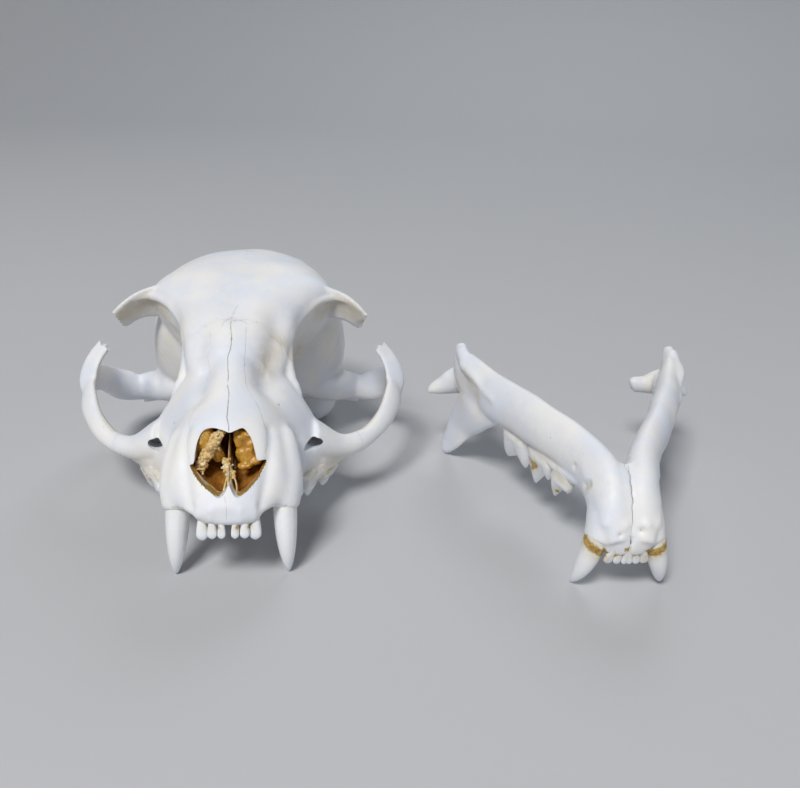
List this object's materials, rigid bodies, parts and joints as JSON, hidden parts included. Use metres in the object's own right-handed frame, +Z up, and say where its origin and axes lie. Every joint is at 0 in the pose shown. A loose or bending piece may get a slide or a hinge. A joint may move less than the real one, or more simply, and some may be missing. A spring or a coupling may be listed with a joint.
{
  "type": "cat skull",
  "caption": "Life-size skull of a domestic cat: the cranium upright, and the lower jaw upside down beside it.",
  "frame": {"origin": "on the table, under the middle of the box round both bones", "axes": "+X runs from the cranium to the lower jaw, +Y from the front teeth to the back, +Z up"},
  "size_m": [0.1372, 0.0932, 0.0449],
  "materials": {
    "bone": "bleached dry bone, matt with a faint sheen",
    "enamel": "tooth enamel, smooth and glossy",
    "nasal_lining": "amber dried lining and thin bone scrolls inside the nose, partly glossy"
  },
  "bodies": {
    "root": {"neurocranium": "bone", "facial_skeleton": "bone", "jugal_left": "bone", "jugal_right": "bone", "mandible_left": "bone", "mandible_right": "bone"}
  },
  "joints": []
}
